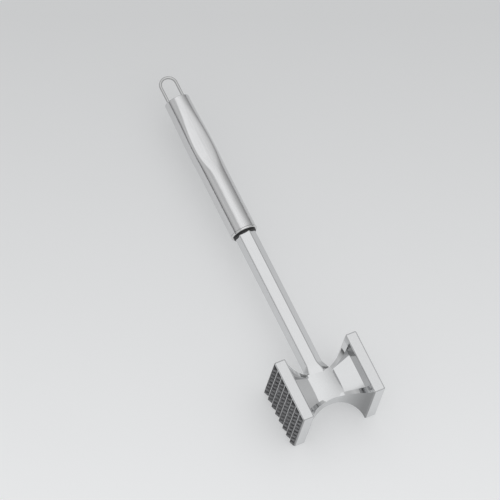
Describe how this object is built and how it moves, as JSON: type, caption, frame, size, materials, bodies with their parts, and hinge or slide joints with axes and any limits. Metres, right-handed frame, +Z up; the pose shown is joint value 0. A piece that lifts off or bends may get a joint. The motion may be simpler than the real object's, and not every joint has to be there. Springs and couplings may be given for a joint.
{
  "type": "meat mallet",
  "caption": "Double-faced meat mallet: waisted metal head with a toothed and a flat face, hexagon shaft, tubular handle with thumb flat and wire hanging loop.",
  "frame": {"origin": "middle of the bounding box in plan, level with the lower sides of the end plates", "axes": "+X from the toothed face to the flat face, +Y from the head to the hanging loop, +Z up, towards the side with the thumb flat"},
  "size_m": [0.0708, 0.3, 0.051],
  "materials": {
    "head_metal": "polished die casting",
    "shaft_metal": "polished bar",
    "ring_metal": "polished trim ring",
    "bush_plastic": "black moulding",
    "anchor_steel": "turned, hidden inside the handle",
    "handle_steel": "satin tube, brushed lengthwise",
    "cap_steel": "satin pressed cap",
    "loop_wire": "polished wire"
  },
  "bodies": {
    "root": {"mallet_head": "head_metal", "hexagon_shaft": "shaft_metal", "mouth_ring": "ring_metal", "mouth_bush": "bush_plastic", "tang_anchor": "anchor_steel", "handle_tube": "handle_steel", "end_cap": "cap_steel", "hanging_loop": "loop_wire"}
  },
  "joints": []
}
